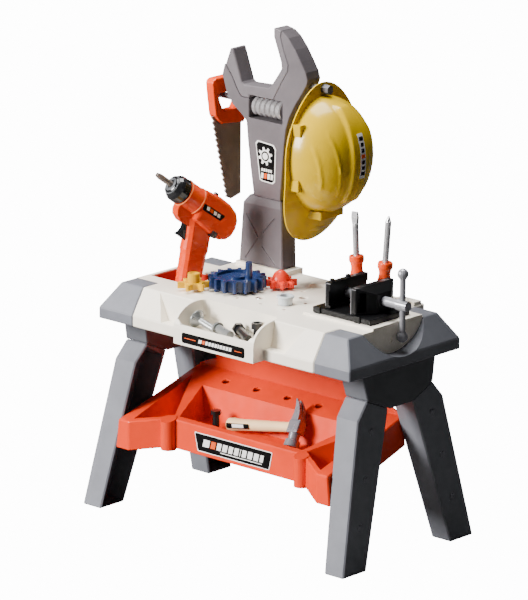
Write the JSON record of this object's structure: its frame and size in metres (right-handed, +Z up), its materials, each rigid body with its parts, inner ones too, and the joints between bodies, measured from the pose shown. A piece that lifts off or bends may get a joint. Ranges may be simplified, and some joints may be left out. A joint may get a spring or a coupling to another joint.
{
  "type": "toy workbench",
  "caption": "Child's play workbench on two trestles with a wrench-shaped tool wall, vise, meshing gears, parts bin, tool tray and loose play tools.",
  "frame": {"origin": "on the floor, under the middle of the whole assembly's bounding box", "axes": "+X along the bench to the vise end, the child stands on the -Y side, +Z up"},
  "size_m": [0.5996, 0.3888, 0.8252],
  "materials": {
    "axle_blue": "satin",
    "axle_orange": "satin",
    "axle_yellow": "satin",
    "bin_label": "satin",
    "countersunk_screw": "satin",
    "cross_bolt": "satin",
    "drill_bit": "satin",
    "drill_body_left": "glossy",
    "drill_body_right": "glossy",
    "drill_chuck": "glossy",
    "drill_direction_switch": "satin",
    "drill_holster": "satin",
    "drill_top_stud": "satin",
    "drill_trigger": "satin",
    "driver_cross_handle": "satin",
    "driver_cross_shaft": "satin",
    "driver_flat_handle": "satin",
    "driver_flat_shaft": "satin",
    "end_cap_left": "satin",
    "end_cap_right": "satin",
    "gear_blue": "satin",
    "gear_orange": "satin",
    "gear_yellow": "satin",
    "hammer_handle": "satin",
    "hammer_head": "satin",
    "helmet_peg": "satin",
    "helmet_shell": "glossy",
    "hex_bolt": "satin",
    "leg_back_left": "satin",
    "leg_back_right": "satin",
    "leg_front_left": "satin",
    "leg_front_right": "satin",
    "loose_bush": "satin",
    "lower_tray": "satin",
    "saw_blade": "satin",
    "saw_handle": "satin",
    "saw_peg": "satin",
    "standing_bolt": "satin",
    "top_board": "satin",
    "tray_bolt": "satin",
    "tray_label": "satin",
    "trestle_head_left": "satin",
    "trestle_head_right": "satin",
    "vise_base": "satin",
    "vise_fixed_jaw": "satin",
    "vise_moving_jaw": "satin",
    "vise_screw": "satin",
    "vise_tommy_bar": "satin",
    "worm_pin": "polished",
    "worm_roller": "polished",
    "wrench_badge": "satin",
    "wrench_body": "satin",
    "wrench_jaw_liner": "satin",
    "wrench_pedestal": "satin"
  },
  "bodies": {
    "bench": {"end_cap_left": "end_cap_left", "end_cap_right": "end_cap_right", "leg_back_left": "leg_back_left", "leg_back_right": "leg_back_right", "leg_front_left": "leg_front_left", "leg_front_right": "leg_front_right", "trestle_head_left": "trestle_head_left", "trestle_head_right": "trestle_head_right", "top_board": "top_board", "bin_label": "bin_label", "drill_holster": "drill_holster", "lower_tray": "lower_tray", "tray_label": "tray_label", "wrench_pedestal": "wrench_pedestal", "wrench_body": "wrench_body", "wrench_jaw_liner": "wrench_jaw_liner", "worm_pin": "worm_pin", "wrench_badge": "wrench_badge", "saw_peg": "saw_peg", "helmet_peg": "helmet_peg", "vise_base": "vise_base", "vise_fixed_jaw": "vise_fixed_jaw", "axle_blue": "axle_blue", "axle_yellow": "axle_yellow", "axle_orange": "axle_orange"},
    "blue_gear": {"gear_blue": "gear_blue"},
    "yellow_gear": {"gear_yellow": "gear_yellow"},
    "orange_gear": {"gear_orange": "gear_orange"},
    "worm": {"worm_roller": "worm_roller"},
    "vise_slider": {"vise_moving_jaw": "vise_moving_jaw"},
    "vise_spindle": {"vise_screw": "vise_screw", "vise_tommy_bar": "vise_tommy_bar"},
    "drill": {"drill_body_left": "drill_body_left", "drill_body_right": "drill_body_right", "drill_top_stud": "drill_top_stud"},
    "drill_spindle": {"drill_chuck": "drill_chuck", "drill_bit": "drill_bit"},
    "trigger": {"drill_trigger": "drill_trigger"},
    "direction_switch": {"drill_direction_switch": "drill_direction_switch"},
    "saw": {"saw_handle": "saw_handle", "saw_blade": "saw_blade"},
    "helmet": {"helmet_shell": "helmet_shell"},
    "flat_driver": {"driver_flat_handle": "driver_flat_handle", "driver_flat_shaft": "driver_flat_shaft"},
    "cross_driver": {"driver_cross_handle": "driver_cross_handle", "driver_cross_shaft": "driver_cross_shaft"},
    "hammer": {"hammer_handle": "hammer_handle", "hammer_head": "hammer_head"},
    "bush": {"loose_bush": "loose_bush"},
    "loose_screw": {"countersunk_screw": "countersunk_screw"},
    "loose_cross_bolt": {"cross_bolt": "cross_bolt"},
    "loose_hex_bolt": {"hex_bolt": "hex_bolt"},
    "loose_standing_bolt": {"standing_bolt": "standing_bolt"},
    "loose_tray_bolt": {"tray_bolt": "tray_bolt"}
  },
  "joints": [
    {"name": "blue_gear_spin", "type": "hinge", "parent": "bench", "child": "blue_gear", "pos_m": [-0.0826, -0.03975, 0.3998], "axis": [0, 0, 1], "continuous": true},
    {"name": "yellow_gear_spin", "type": "hinge", "parent": "bench", "child": "yellow_gear", "pos_m": [-0.13148, -0.09598, 0.3998], "axis": [0, 0, 1], "continuous": true},
    {"name": "orange_gear_spin", "type": "hinge", "parent": "bench", "child": "orange_gear", "pos_m": [-0.03372, 0.01648, 0.3998], "axis": [0, 0, 1], "continuous": true},
    {"name": "worm_spin", "type": "hinge", "parent": "bench", "child": "worm", "pos_m": [-0.167, 0.09985, 0.679], "axis": [1, 0, 0], "continuous": true},
    {"name": "vise_screw_turn", "type": "hinge", "parent": "bench", "child": "vise_spindle", "pos_m": [0.268, -0.01565, 0.429], "axis": [1, 0, 0], "range_deg": [-1530, 558]},
    {"name": "vise_jaw_slide", "type": "slide", "parent": "bench", "child": "vise_slider", "axis": [1, 0, 0], "range_m": [-0.0426, 0.0155]},
    {"name": "drill_lift", "type": "slide", "parent": "bench", "child": "drill", "axis": [0, 0, 1], "range_m": [0, 0.08]},
    {"name": "drill_chuck_spin", "type": "hinge", "parent": "drill", "child": "drill_spindle", "pos_m": [-0.19708, -0.0522, 0.5467], "axis": [-0.2484, -0.7645, 0.5948], "continuous": true},
    {"name": "drill_trigger_press", "type": "slide", "parent": "drill", "child": "trigger", "axis": [0.2484, 0.7645, -0.5948], "range_m": [0, 0.007], "stiffness_N_per_m": 200, "springref_m": -0.003},
    {"name": "drill_switch_slide", "type": "slide", "parent": "drill", "child": "direction_switch", "axis": [0.9511, -0.309, 0], "range_m": [-0.0025, 0.0025]},
    {"name": "saw_lift_off", "type": "slide", "parent": "bench", "child": "saw", "axis": [-1, 0, 0], "range_m": [0, 0.06]},
    {"name": "helmet_lift_off", "type": "slide", "parent": "bench", "child": "helmet", "axis": [1, 0, 0], "range_m": [0, 0.03]},
    {"name": "flat_driver_lift", "type": "slide", "parent": "bench", "child": "flat_driver", "axis": [-0.0593, 0, 0.9982], "range_m": [0, 0.025]},
    {"name": "cross_driver_lift", "type": "slide", "parent": "bench", "child": "cross_driver", "axis": [0.075, 0, 0.9972], "range_m": [0, 0.05]},
    {"name": "hammer_lift", "type": "slide", "parent": "bench", "child": "hammer", "axis": [0, 0, 1], "range_m": [0, 0.06]},
    {"name": "bush_lift", "type": "slide", "parent": "bench", "child": "bush", "axis": [0, 0, 1], "range_m": [0, 0.03]},
    {"name": "screw_lift", "type": "slide", "parent": "bench", "child": "loose_screw", "axis": [0, 0, 1], "range_m": [0, 0.06]},
    {"name": "cross_bolt_lift", "type": "slide", "parent": "bench", "child": "loose_cross_bolt", "axis": [0, 0, 1], "range_m": [0, 0.06]},
    {"name": "hex_bolt_lift", "type": "slide", "parent": "bench", "child": "loose_hex_bolt", "axis": [0, 0, 1], "range_m": [0, 0.06]},
    {"name": "standing_bolt_lift", "type": "slide", "parent": "bench", "child": "loose_standing_bolt", "axis": [0, 0, 1], "range_m": [0, 0.06]},
    {"name": "tray_bolt_lift", "type": "slide", "parent": "bench", "child": "loose_tray_bolt", "axis": [0, 0, 1], "range_m": [0, 0.04]}
  ],
  "couplings": [
    {"joint": "yellow_gear_spin", "follows": "blue_gear_spin", "ratio": -2.6667},
    {"joint": "orange_gear_spin", "follows": "blue_gear_spin", "ratio": -2},
    {"joint": "vise_jaw_slide", "follows": "vise_screw_turn", "m_per_rad": 0.0015915}
  ]
}
